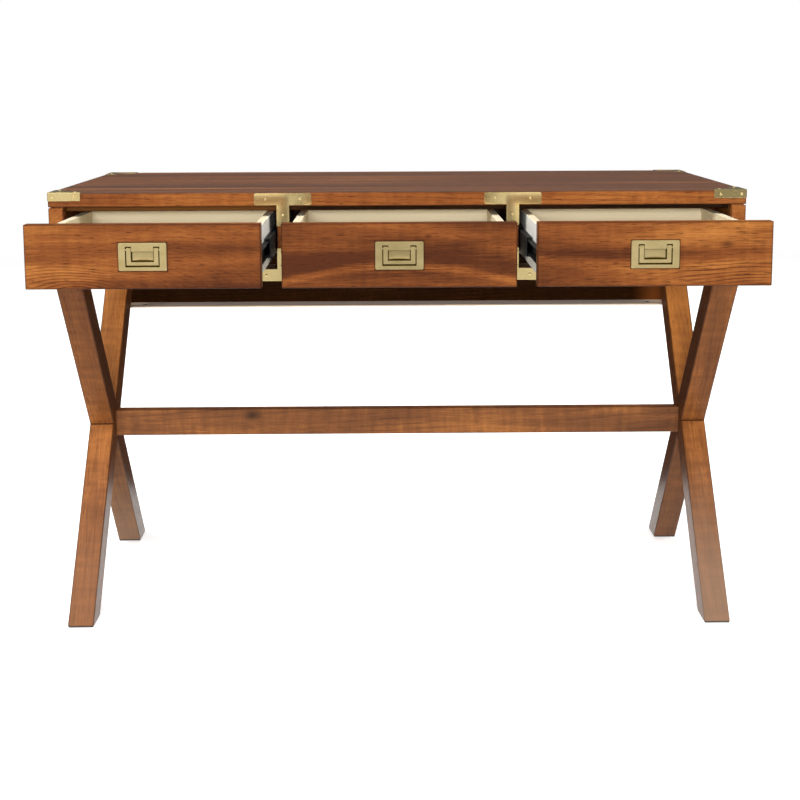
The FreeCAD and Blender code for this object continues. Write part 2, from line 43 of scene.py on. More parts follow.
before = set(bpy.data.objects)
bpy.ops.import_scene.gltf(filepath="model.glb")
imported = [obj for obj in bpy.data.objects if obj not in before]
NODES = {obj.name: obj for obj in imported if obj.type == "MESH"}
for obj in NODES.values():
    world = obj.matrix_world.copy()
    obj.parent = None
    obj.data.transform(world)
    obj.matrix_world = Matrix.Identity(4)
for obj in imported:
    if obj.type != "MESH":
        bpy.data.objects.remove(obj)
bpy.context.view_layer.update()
DRAWERS = ("left", "middle", "right")
MM = 0.001

# Directions, seen from the front
ORIGIN = (0.0, 0.0, 0.0)
RIGHTWARD, LEFTWARD = (1, 0, 0), (-1, 0, 0)
BACKWARD, FORWARD = (0, 1, 0), (0, -1, 0)
UPWARD = (0, 0, 1)

# Noise of the wood along the grain and across it, in swings a metre
SLOW_DRIFT = (2.6, 12.0)
QUICK_DRIFT = (16.0, 75.0)
LINE_PATCHES = (4.0, 18.0)
CURLS = (75.0, 14.0)
STREAKS = (14.0, 420.0)
PORES = (55.0, 760.0)

# Stops of ramps: from none to full, the outer layer of a board, and the darkness over one ring
RISE = [(0.0, 0.0), (1.0, 1.0)]
OUTER_LAYER = [(0.84, 0.0), (0.96, 1.0)]
LATE_WOOD = [(0.0, 0.1), (0.10, 0.0), (0.62, 0.06), (0.88, 1.0), (1.0, 0.1)]

WANDER, RIPPLE = 22.0 * MM, 4.0 * MM  # sway of the rings, slow and quick
SIDE_STRIPES = 0.3  # strength of the stripes on the faces that aren't the show face
ALL_OVER = (-6.0, -4.0)  # start and end of painted light that covers a whole board
FOOTWARD = (-0.1, -0.9)  # start and end of painted floor reflection that comes in towards a foot
PLATE_SHADOW_LINE = 2.0 * MM
JOINT_LINE = 2.6 * MM
LINING_EDGE = 1.0 * MM

# Bands of the top, and the figure of each drawer front, as stained_wood takes them
TOP_BANDS = [
    (-0.215, 0.002, 0.0, 0.008, -0.16),
    (-0.175, 0.004, 0.0, 0.008, 0.12),
    (-0.120, -0.004, 0.0, 0.010, -0.15),
    (-0.060, 0.006, 0.0, 0.010, 0.10),
    (0.010, 0.003, 0.0, 0.012, -0.16),
    (0.090, -0.005, 0.0, 0.014, 0.12),
    (0.165, 0.004, 0.0, 0.014, -0.14),
]
FRONT_FIGURES = {
    "left": dict(
        seed=11.0, pith=(-0.058, -0.026), tilt=0.30, lines=0.55, level=0.40, sweep=-0.30,
        arches=(-0.110, -0.036, 0.085, 0.036),
        bands=[
            (0.030, 0.02, 0.0, 0.010, 0.10),
            (-0.022, 0.05, 0.4, 0.012, 0.16),
            (0.004, -0.02, 0.0, 0.014, -0.14),
        ],
    ),
    "middle": dict(
        seed=12.0, pith=(-0.060, 0.013), tilt=0.16, lines=0.35, level=0.225, sweep=0.05,
        arches=(0.02, -0.012, 0.12, 0.030),
        bands=[
            (-0.017, 0.0, -0.75, 0.0050, 0.30),
            (0.004, 0.0, -0.9, 0.014, -0.16),
            (0.045, -0.20, 0.0, 0.010, 0.18),
        ],
        knot=(0.043, 0.029, 0.006, 0.55),
    ),
    "right": dict(
        seed=13.0, pith=(-0.066, -0.024), tilt=-0.20, lines=0.55, level=0.40, sweep=0.08,
        arches=(0.10, -0.026, 0.10, 0.028),
        bands=[
            (-0.020, 0.01, 0.5, 0.008, 0.20),
            (0.022, 0.06, 0.8, 0.012, 0.14),
            (-0.002, 0.0, 0.0, 0.010, -0.14),
        ],
        knot=(0.107, 0.014, 0.011, 0.6),
    ),
}

# Shares of the brass colour where it is deeper and where a recess is in painted shade, and the
# depth of that painted shade
DEEP_BRASS = (0.66, 0.61, 0.46)
RECESS_SHADE = (0.17, 0.125, 0.03)
RECESS_SHADE_DEPTH = 8.0 * MM

# Sizes of the small parts
POLE = 0.001 * MM
MERGE = 0.01 * MM
POCKET_WALL = 3.0 * MM
PAD_SIDE, PAD_TOP, PAD_FOOT, PAD_ARCH = 8.1 * MM, 6.1 * MM, 5.6 * MM, 1.0 * MM
SLIDE_SHEET = 1.2 * MM
SCREW_RISE = 1.6 * MM
SCREW_SHARES = (0.08, 0.45, 0.9)
BOLT_RADIUS, BOLT_HEAD, BOLT_LENGTH = 3.0 * MM, 6.0 * MM, 45.0 * MM
STRETCHER_BITE = 40.0 * MM
HOLE_FROM_END, HOLE_FROM_FRONT, HOLE_RADIUS = 40.0 * MM, 22.0 * MM, 5.0 * MM
# Colour of the painted shade in the ledge's holes
HOLE_SHADE = (0.01, 0.01, 0.01, 1.0)

# The studio
WHITE = (1.0, 1.0, 1.0, 1.0)
SHADE = (0.02, 0.02, 0.02, 1.0)
MIRRORED_GLOW = (17.0, 17.0, 16.5, 1.0)
SEEN_GLOW = (4.6, 4.6, 4.6, 1.0)
FLOOR_RINGS = (0.001, 1.0, 2.5, 4.0, 6.0)
SENSOR_WIDTH = 36.0


# Shader building

def node_operator(operation, reflected=False):
    """A Python operator that adds a Math node."""
    def apply(self, other):
        values = (other, self) if reflected else (self, other)
        return self.finish.maths(operation, *values)
    return apply


class Value:
    """A shader number or colour; sums, differences, products and quotients add Math nodes."""

    def __init__(self, finish, socket):
        self.finish = finish
        self.socket = socket

    __add__ = __radd__ = node_operator("ADD")
    __sub__ = node_operator("SUBTRACT")
    __rsub__ = node_operator("SUBTRACT", reflected=True)
    __mul__ = __rmul__ = node_operator("MULTIPLY")
    __truediv__ = node_operator("DIVIDE")
    __rtruediv__ = node_operator("DIVIDE", reflected=True)
    __pow__ = node_operator("POWER")

    def __abs__(self):
        return self.finish.maths("ABSOLUTE", self)

    def swing(self, amount):
        """A noise about 0.5 as a swing about 0, times an amount."""
        return (self - 0.5) * amount


class Finish:
    """One material or world being made, with one method that adds any node."""

    def __init__(self, name, kind="materials"):
        self.owner = getattr(bpy.data, kind).new(name)
        self.owner.use_nodes = True
        self.tree = self.owner.node_tree
        self.tree.nodes.clear()

    def add(self, kind, settings=None, sockets=None, output=0):
        """A node of a kind: its settings first, then the values or links of its sockets."""
        node = self.tree.nodes.new(kind)
        for key, value in (settings or {}).items():
            if key == "stops":
                self.set_stops(node.color_ramp, *value)
            else:
                setattr(node, key, value)
        for key, value in (sockets or {}).items():
            if isinstance(value, Value):
                self.tree.links.new(value.socket, node.inputs[key])
            else:
                node.inputs[key].default_value = value
        return Value(self, node.outputs[output]) if node.outputs else None

    @staticmethod
    def set_stops(ramp, stops, easing):
        """The stops of a ramp, as (place, colour) or (place, grey) pairs, and the way between."""
        ramp.interpolation = easing
        while len(ramp.elements) < len(stops):
            ramp.elements.new(1.0)
        for element, (place, colour) in zip(ramp.elements, stops):
            element.position = place
            element.color = colour if hasattr(colour, "__len__") else (colour,) * 3 + (1.0,)

    def maths(self, operation, *values):
        return self.add("ShaderNodeMath", {"operation": operation}, dict(enumerate(values)))

    def clamp(self, value):
        """A value held between 0 and 1."""
        settings = {"operation": "ADD", "use_clamp": True}
        return self.add("ShaderNodeMath", settings, {0: value, 1: 0.0})

    def ramp(self, value, stops, easing="EASE"):
        """A value or colour read off stops along a value."""
        return self.add("ShaderNodeValToRGB", {"stops": (stops, easing)}, {0: value})

    def mix(self, factor, first, second):
        """Two colours mixed by a factor; sockets 6 and 7 are the node's colours."""
        sockets = {0: factor, 6: first, 7: second}
        return self.add("ShaderNodeMix", {"data_type": "RGBA"}, sockets, output=2)

    def place(self, centre=ORIGIN, axes=None):
        """Object coordinates in a frame with its own middle and axes, in metres."""
        point = self.add("ShaderNodeTexCoord", output="Object")
        turn = (axes or Matrix.Identity(3)).to_euler()
        sockets = {"Vector": point, "Location": tuple(centre), "Rotation": tuple(turn)}
        return self.add("ShaderNodeMapping", {"vector_type": "TEXTURE"}, sockets)

    def noise(self, point, scale, shift=ORIGIN, detail=3.0, roughness=0.55):
        """Noise about 0.5; scale is (along, across) or one for each axis, in swings a metre."""
        stretched = {"Vector": point, "Location": shift, "Scale": (*scale, scale[-1])[:3]}
        sockets = {
            "Vector": self.add("ShaderNodeMapping", {"vector_type": "POINT"}, stretched),
            "Scale": 1.0,
            "Detail": detail,
            "Roughness": roughness,
        }
        return self.add("ShaderNodeTexNoise", {}, sockets)

    def parts(self, point):
        """The three numbers of a vector."""
        node = self.add("ShaderNodeSeparateXYZ", {}, {0: point}).socket.node
        return [Value(self, socket) for socket in node.outputs]

    def bump(self, height, strength, distance, eased=0.0):
        """A normal from a height; eased rounds the sharp edges by that radius."""
        sockets = {"Strength": strength, "Distance": distance, "Height": height}
        if eased:
            sockets["Normal"] = self.add("ShaderNodeBevel", {"samples": 4}, {"Radius": eased})
        return self.add("ShaderNodeBump", {}, sockets)

    def close(self, **sockets):
        """The surface shader and the output; socket names use underscores for spaces."""
        named = {key.replace("_", " "): value for key, value in sockets.items()}
        shader = self.add("ShaderNodeBsdfPrincipled", {}, named)
        self.add("ShaderNodeOutputMaterial", {}, {"Surface": shader})
        return self.owner


def span(first, second):
    """The length of two shader numbers at right angles."""
    return (first * first + second * second) ** 0.5


def scaled(colour, factor):
    """A colour times one factor, or times a factor for each channel, and at most white."""
    factors = factor if hasattr(factor, "__len__") else (factor,) * 3
    return tuple(min(1.0, part * share) for part, share in zip(colour, factors)) + (1.0,)


def dress(node, material):
    """Give a shown desk node one finish."""
    mesh = NODES[node].data
    mesh.materials.clear()
    mesh.materials.append(material)


def middle_of(node):
    low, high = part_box(node)
    return (low + high) / 2


def grain_axes(grain, face):
    """A frame with its first axis along the grain and its third out of the show face."""
    first = Vector(grain).normalized()
    third = Vector(face).normalized()
    second = third.cross(first)
    return Matrix((first, second, third)).transposed()


def half_sizes(node, axes):
    """Half of a node's size along each axis of a frame."""
    low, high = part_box(node)
    reach = (high - low) / 2
    return [
        sum(abs(part) * size for part, size in zip(axis, reach)) for axis in axes.transposed()
    ]


# Finishes

def stained_wood(
    node, grain, face, seed, tones, pith, tilt, ring, lines, bands=(), knot=None, level=0.5,
    cloud=0.6, gloss=0.15, edge=0.0, sides=0.0, sweep=0.0, arches=None, stripes=SIDE_STRIPES,
    painted_light=None, half=None, plate_shadow=None, open_pores=0.62, curls=0.26, sheen=0.46,
    strands=(4.5, 48.0), twin=False, joint=None, lining=None,
):
    """Stained and lacquered wood cut from one log.

    The log's rings are cylinders about a pith that lies at pith = (across, deep) from the board's
    middle and climbs by tilt along the grain, so a flat face shows arches. ring is their spacing.
    Each band is (offset, slope, curve, half width, strength): a soft stripe along a parabola of the
    distance along the grain, golden where strength is positive and dark where it is negative.

    tones, level: the dark, main and golden stain, and the mean tone from dark to golden
    lines: how dark the late wood is in the patches where it shows
    cloud, curls: how much the tone drifts, and how much ripples cross the grain
    stripes, strands: strength of the stripes, and how many a metre holds along and across
    sides, sweep: how much more golden the other faces are, and the far end of the show face
    arches: (along, aside, half length, half height) of the patch with arched lines
    knot: (along, aside, half length, strength)
    edge: width of the darker rim
    painted_light: (colour, strength, start, end) of painted light that comes in along the grain, a
    tint that stands in for sheen, reflections and lit patches
    half: half sizes along, across and deep, where the board leans
    plate_shadow: (aside, half length, half height) of a plate in the face, with a painted shadow
    line round it
    joint: (along, deep) of a dark corner, where another board crosses
    lining: (paint, half length, low, high) of a painted field opposite the show face
    open_pores: how dark the pores are; gloss, sheen: the lacquer, and its roughness
    twin: whether the face opposite the show face is one too
    """
    finish = Finish(node + "_wood")
    axes = grain_axes(grain, face)
    half = half or half_sizes(node, axes)
    point = finish.place(middle_of(node), axes)
    run, across, deep = finish.parts(point)
    dark, main, gold = tones

    # Rings
    shift = (seed * 3.7, seed * 1.9, seed * 2.3)
    slow = finish.noise(point, SLOW_DRIFT, shift, detail=2.0)
    quick = finish.noise(point, QUICK_DRIFT, shift, detail=2.0)
    wander = slow.swing(WANDER)
    ripple = quick.swing(RIPPLE)
    side = across + wander + ripple - pith[0]
    depth = deep - pith[1] + run * tilt + wander
    late = finish.ramp(finish.maths("FRACT", span(side, depth) / ring), LATE_WOOD)
    patch = finish.noise(point, LINE_PATCHES, (shift[1], shift[2], shift[0]), detail=1.0)
    if arches:
        along, aside, half_length, half_height = arches
        spread = span((run - along) / half_length, (across - aside) / half_height)
        drawn = finish.ramp(spread + patch.swing(0.8), [(0.35, 1.0), (1.0, 0.12)])
    else:
        drawn = finish.ramp(patch, [(0.44, 0.12), (0.60, 1.0)])

    # Tone
    curl = finish.noise(point, CURLS, shift, detail=2.0)
    stripe = finish.noise(point, strands, shift, detail=4.0, roughness=0.6)
    streak = finish.noise(point, STREAKS, shift, roughness=0.65)
    pores = finish.noise(point, PORES, shift)
    show = finish.ramp((abs(deep) if twin else deep) / half[2], OUTER_LAYER)
    tone = level + sides - show * sides + run * show * (sweep / half[0]) - late * drawn * lines
    striped = show * (stripes - SIDE_STRIPES) + SIDE_STRIPES
    tone = tone + slow.swing(cloud) + stripe.swing(striped) + streak.swing(0.55) + curl.swing(curls)
    for offset, slope, curve, half_width, strength in bands:
        path = run * run * curve + run * slope + offset
        gap = (across + wander * 0.35 + ripple * 1.5 - path) / half_width
        tone = tone + strength / (1.0 + gap * gap * gap * gap)
    stops = [(0.0, dark), (0.45, main), (1.0, gold)]
    colour = finish.ramp(finish.clamp(tone), stops, "LINEAR")
    fleck = finish.ramp(pores, [(0.32, 1.0), (0.46, 0.0)])
    colour = finish.mix(fleck * open_pores, colour, scaled(dark, 0.35))

    # Marks
    if knot:
        along, aside, half_length, strength = knot
        spread = span((run - along) / half_length, (across - aside) / (half_length * 0.62))
        spot = finish.clamp(1.2 - spread + quick.swing(0.7))
        colour = finish.mix(spot * strength, colour, scaled(dark, 0.22))
    if edge:
        gaps = [size - abs(value) for size, value in zip(half, (run, across, deep))]
        nearer = finish.maths("MINIMUM", gaps[0], gaps[1])
        farther = finish.maths("MAXIMUM", gaps[0], gaps[1])
        rim = finish.maths("MAXIMUM", nearer, finish.maths("MINIMUM", farther, gaps[2]))
        # Darker towards the board's edges
        darker_rim = finish.ramp((rim + quick.swing(0.0015)) / edge, [(0.25, 1.0), (1.0, 0.0)])
        colour = finish.mix(darker_rim * 0.72, colour, scaled(dark, 0.5))
    # Painted shadow: a dark line round the pull plate, where its edge meets the wood
    if plate_shadow:
        aside, half_length, half_height = plate_shadow
        outside = finish.maths("MAXIMUM", abs(run) - half_length, abs(across - aside) - half_height)
        line = finish.ramp(outside / PLATE_SHADOW_LINE, [(0.35, 1.0), (1.0, 0.0)])
        colour = finish.mix(line * 0.75, colour, scaled(dark, 0.25))
    if joint:
        apart = span(run - joint[0], deep - joint[1])
        line = finish.ramp(apart / JOINT_LINE, [(0.3, 1.0), (1.0, 0.0)])
        colour = finish.mix(line * 0.85, colour, scaled(dark, 0.25))
    if lining:
        paint, half_length, low, high = lining
        field = finish.ramp(deep / -half[2], OUTER_LAYER)
        for gap in (half_length - abs(run), across - low, high - across):
            field = field * finish.ramp(gap / LINING_EDGE, RISE)
        colour = finish.mix(field, colour, paint)
    # Painted light: a tint along the grain in place of light that falls on or reflects from the
    # show face
    if painted_light:
        painted_tint, strength, start, end = painted_light
        share = (run / half[0] - start) / (end - start) + quick.swing(0.2)
        colour = finish.mix(finish.ramp(share, RISE) * show * strength, colour, painted_tint)

    return finish.close(
        Base_Color=colour,
        Roughness=sheen + streak.swing(0.16) + fleck * 0.16,
        Normal=finish.bump(pores * 0.7 + streak * 0.3, 0.22, 0.0006, eased=0.0012),
        Coat_Weight=0.2 * gloss,
        Coat_Roughness=0.3,
        Specular_IOR_Level=gloss,
    )


def painted_box(node, grain, face, seed, colour, outer=None):
    """Ivory paint over a drawer board: the grain shows through faintly, with a little unevenness.

    outer is a paler colour for the face opposite the show face, where there is one: painted light
    on the outside of the box sides.
    """
    finish = Finish(node + "_paint")
    axes = grain_axes(grain, face)
    point = finish.place(middle_of(node), axes)
    shift = (seed * 2.9, seed * 1.3, seed * 0.7)
    grain_lines = finish.noise(point, (5.0, 260.0), shift)
    cloud = finish.noise(point, (7.0, 16.0), shift, detail=2.0)
    shade = finish.clamp(0.45 + grain_lines.swing(0.8) + cloud.swing(0.7))
    tint = finish.mix(shade, scaled(colour, (0.82, 0.82, 0.72)), colour)
    # Painted light: the face opposite the show face is paler than the same paint elsewhere
    if outer:
        thickness = half_sizes(node, axes)[2]
        outside = finish.ramp(finish.parts(point)[2] / -thickness, OUTER_LAYER)
        tint = finish.mix(outside, tint, outer)
    return finish.close(
        Base_Color=tint,
        Roughness=0.46 + grain_lines.swing(0.2),
        Normal=finish.bump(grain_lines, 0.12, 0.0005),
        Specular_IOR_Level=0.4,
    )


def satin_brass(
    name, seed, colour, warp=0.0, front=None, eased=0.0008, patches=(38.0, 60.0, 1.1), sheen=0.22,
    metal=0.68, groove=0.00002,
):
    """Lacquered satin brass: fine brush lines one way, with a slow drift to a deeper gold.

    warp: height of the sheet's slow waves, which bend its reflections
    front: height of a plate's face along its outward axis; below it the recess is in painted shade
    patches: how many patches of the drift a metre holds along and across, and how they differ
    sheen, metal, groove: roughness, share of bare metal and depth of the brush lines
    """
    finish = Finish(name)
    point = finish.place(axes=grain_axes(RIGHTWARD, FORWARD))
    shift = (seed * 1.7, seed * 0.9, seed * 2.1)
    brush = finish.noise(point, (70.0, 2600.0), shift, detail=2.0)
    drift = finish.noise(point, patches[:2], shift)
    shade = finish.clamp(0.62 + drift.swing(patches[2]) + brush.swing(0.5))
    tint = finish.mix(shade, scaled(colour, DEEP_BRASS), colour)
    # Painted shade: the brass darkens below the plate's face, in the recess
    if front is not None:
        below = (front - finish.parts(point)[2]) / RECESS_SHADE_DEPTH
        sunk = finish.ramp(below, [(0.08, 0.0), (0.30, 1.0)])
        tint = finish.mix(sunk, tint, scaled(colour, RECESS_SHADE))
    waves = finish.noise(point, (26.0, 26.0), shift, detail=1.0)
    return finish.close(
        Base_Color=tint,
        Metallic=metal,
        Roughness=sheen + brush.swing(0.12) + drift.swing(0.06),
        Normal=finish.bump(waves * warp + brush * groove, 1.0, 1.0, eased),
    )


def dark_steel(name, colour):
    """Blackened slide steel: rolled along its length, brighter in wear lines where it runs, lines
    that also serve as painted glints.
    """
    finish = Finish(name)
    point = finish.place(axes=grain_axes(BACKWARD, RIGHTWARD))
    rolled = finish.noise(point, (9.0, 700.0))
    patch = finish.noise(point, (22.0, 90.0), detail=2.0)
    # Lines of wear along the run, which also serve as painted highlights
    rub_and_glint = finish.ramp(rolled * 0.7 + patch * 0.3, [(0.56, 0.0), (0.70, 1.0)])
    return finish.close(
        Base_Color=finish.mix(rub_and_glint * 0.55, colour, scaled(colour, 4.5)),
        Metallic=0.1,
        Roughness=0.62 - rub_and_glint * 0.22 + patch.swing(0.16),
        Normal=finish.bump(rolled, 0.10, 0.0003, eased=0.0006),
        Specular_IOR_Level=0.22,
    )


def plated_steel(name, colour):
    """Zinc-plated fixings: a grey metal with cloudy plating."""
    finish = Finish(name)
    point = finish.place()
    cloud = finish.noise(point, (240.0, 240.0))
    scratch = finish.noise(point, (900.0, 120.0, 900.0), detail=2.0)
    return finish.close(
        Base_Color=finish.mix(finish.clamp(0.5 + cloud.swing(1.6)), scaled(colour, 0.6), colour),
        Metallic=1.0,
        Roughness=0.34 + scratch.swing(0.3),
        Normal=finish.bump(scratch, 0.10, 0.0002),
    )


def foot_plastic(name, colour):
    """Moulded black pads: a fine pebble texture with scuffed patches."""
    finish = Finish(name)
    point = finish.place()
    pebble = finish.noise(point, (1400.0, 1400.0), detail=2.0)
    scuff = finish.noise(point, (60.0, 60.0))
    scuffed = finish.ramp(scuff, [(0.5, 0.0), (0.75, 1.0)]) * 0.6
    return finish.close(
        Base_Color=finish.mix(scuffed, colour, scaled(colour, 3.0)),
        Roughness=0.55 + pebble.swing(0.2),
        Normal=finish.bump(pebble, 0.3, 0.0003),
    )


def ledge_paint(name, colour, hole):
    """Dusty warm powder coat on the ledge: an orange-peel surface with a slight mottle.

    hole = (x, y, radius) is a hole with painted shade in and round it, with its twin at -x.
    """
    finish = Finish(name)
    point = finish.place()
    x, y = finish.parts(point)[:2]
    # Painted shade: black inside each hole and just round it
    apart = span(abs(x) - hole[0], y - hole[1])
    inside = finish.ramp(apart / hole[2], [(0.92, 1.0), (1.0, 0.0)])
    peel = finish.noise(point, (520.0, 520.0), detail=2.0)
    mottle = finish.noise(point, (14.0, 40.0))
    tint = finish.mix(finish.clamp(0.5 + mottle.swing(1.4)), scaled(colour, 0.78), colour)
    return finish.close(
        Base_Color=finish.mix(inside, tint, HOLE_SHADE),
        Roughness=0.42 + peel.swing(0.16),
        Normal=finish.bump(peel, 0.16, 0.0003),
        Specular_IOR_Level=0.5,
        Sheen_Weight=0.25,
        Sheen_Roughness=0.4,
    )


# Surfaces

def grid_faces(rows, columns, closed):
    """Quads of a grid of points; closed joins the last column to the first."""
    row = np.arange(rows - 1)[:, None]
    column = np.arange(columns if closed else columns - 1)[None, :]
    follow = (column + 1) % columns
    corners = [row * columns + column, row * columns + follow]
    corners += [(row + 1) * columns + follow, (row + 1) * columns + column]
    return np.stack(np.broadcast_arrays(*corners), axis=-1).reshape(-1, 4)


def full_turn(sides):
    """Angles once round, without the last, which is the first."""
    return np.linspace(0.0, 2.0 * math.pi, sides, endpoint=False)


def spun(base, axis, radius, height, angle):
    """A grid spun about an axis: base + axis * height + (cos angle, sin angle) * radius."""
    out = Vector(axis).normalized()
    right = out.orthogonal().normalized()
    up = out.cross(right)
    points = (
        np.array(base)
        + height[..., None] * np.array(out)
        + (radius * np.cos(angle))[..., None] * np.array(right)
        + (radius * np.sin(angle))[..., None] * np.array(up)
    )
    return points.reshape(-1, 3), grid_faces(len(radius), len(angle), True)


def joined(pieces):
    """Several (points, faces) surfaces as one."""
    starts = np.cumsum([0] + [len(points) for points, faces in pieces[:-1]])
    points = np.concatenate([points for points, faces in pieces])
    faces = np.concatenate([faces + start for (_, faces), start in zip(pieces, starts)])
    return points, faces


def bolt(base, axis, head_height, length):
    """A bolt with a domed head and a six-sided socket.

    One profile of (radius, height) runs from the socket's floor over the dome to the shank's tip
    and is spun about the axis. The socket's two rows are squared off to a hexagon: at angle a their
    radius is multiplied by cos(30) / cos((a mod 60) - 30), in degrees.
    """
    key = 0.46 * BOLT_HEAD
    floor = 0.35 * head_height
    dome = [
        (key + (BOLT_HEAD - key) * math.sin(turn), head_height * (0.62 + 0.38 * math.cos(turn)))
        for turn in np.linspace(0.0, math.pi / 2, 7)
    ]
    profile = [(POLE, floor), (key, floor), (key, head_height)] + dome[1:]
    profile += [(BOLT_HEAD, 0.0), (BOLT_RADIUS, 0.0), (BOLT_RADIUS, -length), (POLE, -length)]
    radius, height = np.array(profile, float).T[..., None]
    angle = full_turn(48)
    flat = math.cos(math.pi / 6) / np.cos(np.mod(angle, math.pi / 3) - math.pi / 6)
    circle = radius * np.ones_like(angle)
    circle[1:3] *= flat
    return spun(base, axis, circle, height, angle)


def pan_screw(base, axis, radius):
    """A round screw head with a cross slot: the crown's height drops along two crossing grooves.

    At polar radius r, as a share of the head's, and angle a, the crown is sqrt(1 - 0.75 r^2), less
    a groove 0.45 deep wherever the nearer of |r sin a| and |r cos a| is under about a tenth, all
    times the head's rise. The last row drops to the sheet.
    """
    share = np.concatenate(([0.001], np.linspace(0.08, 1.0, 12)))
    angle = full_turn(64)
    far = share[:, None] * np.ones_like(angle)
    crown = np.sqrt(1.0 - 0.75 * far ** 2)
    near = np.minimum(np.abs(far * np.sin(angle)), np.abs(far * np.cos(angle)))
    groove = np.clip((0.13 - near) / 0.05, 0.0, 1.0) * np.clip((0.68 - far) / 0.08, 0.0, 1.0)
    lift = SCREW_RISE * (crown - 0.45 * groove)
    rim = np.zeros_like(angle)[None, :]
    far = np.concatenate((far, np.ones_like(rim)))
    return spun(base, axis, radius * far, np.concatenate((lift, rim)), angle)


def finger_pad(centre, floor, half_width, top, low, rise):
    """The raised pad inside a bail, which falls away below into a finger scoop.

    With s from -1 to 1 across and t from 0 at the top to 1 at the foot, the pad stands off the
    pocket's floor by rise * sqrt(1 - t^10), and its foot is arched: low + arch * (1 - s^2). The
    outermost rows and columns drop to the floor and close the sides.
    """
    across = np.concatenate(([-1.0], np.linspace(-1.0, 1.0, 33), [1.0]))[None, :]
    fall = np.concatenate(([0.0], np.sin(np.linspace(0.0, math.pi / 2, 29))))[:, None]
    foot = low + PAD_ARCH * (1.0 - across ** 2)
    lift = rise * np.sqrt(np.maximum(0.0, 1.0 - fall ** 10)) * np.ones_like(across)
    lift[:1, :] = 0.0
    lift[:, [0, -1]] = 0.0
    x = centre + half_width * across
    z = top + (foot - top) * fall
    points = np.stack(np.broadcast_arrays(x, floor - lift, z), axis=-1)
    return points.reshape(-1, 3), grid_faces(len(fall), across.shape[1], False)[:, ::-1]


def make_object(name, surface, material):
    """A mesh object at the origin with one finish."""
    points, faces = surface
    mesh = bpy.data.meshes.new(name)
    mesh.from_pydata(points.tolist(), [], faces.tolist())
    mesh.materials.append(material)
    made = bpy.data.objects.new(name, mesh)
    bpy.context.scene.collection.objects.link(made)
    return made


def make_piece(name, surface, material, body, smooth=True, replaced=()):
    """A piece that rides a body of the desk, with its poles merged and its base closed."""
    piece = make_object(name, surface, material)
    shell = bmesh.new()
    shell.from_mesh(piece.data)
    bmesh.ops.remove_doubles(shell, verts=shell.verts, dist=MERGE)
    bmesh.ops.holes_fill(shell, edges=shell.edges)
    bmesh.ops.recalc_face_normals(shell, faces=shell.faces)
    shell.to_mesh(piece.data)
    shell.free()
    polygons = piece.data.polygons
    polygons.foreach_set("use_smooth", np.full(len(polygons), smooth))
    piece.data.update()
    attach(piece, body)
    if replaced:
        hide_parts(*replaced)


# Settings

def colour_setting(name, description, default):
    return bpy.props.FloatVectorProperty(
        name=name, description=description, default=default + (1.0,), size=4, min=0.0, max=1.0,
        subtype="COLOR",
    )


def number_setting(name, description, default, **kind):
    return bpy.props.FloatProperty(name=name, description=description, default=default, **kind)


def group_setting(name, description, group):
    return bpy.props.PointerProperty(name=name, description=description, type=group)


class DeskWoodSettings(bpy.types.PropertyGroup):
    """Stain colours, colours of painted shade and painted light, and ring spacing of the boards."""

    dark: colour_setting("Dark stain", "Late wood and shaded streaks", (0.064, 0.017, 0.005))
    middle: colour_setting("Stain", "Main colour of the boards", (0.190, 0.056, 0.013))
    golden: colour_setting("Golden stain", "Bright bands of wood", (0.430, 0.165, 0.037))
    leg_dark: colour_setting("Dark leg stain", "Streaks on the legs", (0.105, 0.035, 0.012))
    leg_middle: colour_setting("Leg stain", "Main colour of the legs", (0.225, 0.078, 0.023))
    leg_golden: colour_setting("Golden leg stain", "Bright leg streaks", (0.530, 0.192, 0.046))
    # Painted shade: near-black tones for boards that stand in the case's shade, the back panel, the
    # dividers and the front top rail
    painted_shade_dark: colour_setting("Back stain", "Stain of the back panel", (0.012, 0.004, 0.001))
    painted_shade_middle: colour_setting("Back streaks", "Streaks of the back panel", (0.036, 0.012, 0.003))
    # Painted sheen: a grey tint over the top in place of its grazing reflection of the room
    painted_light: colour_setting("Top wash", "Grey bloom of the top's lacquer", (0.140, 0.105, 0.085))
    # Painted reflection: the foot colour stands in for the floor's reflection on the lower legs and
    # the stretcher
    foot: colour_setting("Foot wash", "Rubbed stain near the feet", (0.360, 0.250, 0.175))
    ring: number_setting(
        "Ring spacing", "Width of one year's ring in the boards", 0.0060, min=0.001, unit="LENGTH"
    )
    leg_ring: number_setting(
        "Leg ring spacing", "Width of one year's ring in the legs", 0.007, min=0.001, unit="LENGTH"
    )


class DeskMetalSettings(bpy.types.PropertyGroup):
    """Colours of the brass, the slides and the other metal."""

    brass: colour_setting("Brass", "Satin brass of plates and pulls", (0.63, 0.50, 0.245))
    slide: colour_setting("Slide steel", "Blackened drawer slides", (0.010, 0.010, 0.011))
    fixing: colour_setting("Fixing steel", "Plated bolts and screws", (0.62, 0.61, 0.58))
    ledge: colour_setting("Ledge", "Powder coat of the back ledge", (0.90, 0.68, 0.46))
    screw_radius: number_setting(
        "Slide screw head", "Radius of a slide screw's head", 0.0034, unit="LENGTH"
    )
    pad_rise: number_setting("Pull pad", "Rise of the pad inside a bail", 0.0036, unit="LENGTH")


class DeskBoxSettings(bpy.types.PropertyGroup):
    """Colours of the drawer boxes and the foot pads."""

    ivory: colour_setting("Ivory", "Paint of the drawer boxes", (0.70, 0.61, 0.455))
    # Painted light: a whiter colour on the outside faces of the box sides, where light falls on
    # them
    outer: colour_setting("White", "Paler coat outside the box sides", (0.95, 0.93, 0.87))
    pad: colour_setting("Foot pad", "Plastic of the foot pads", (0.018, 0.017, 0.016))


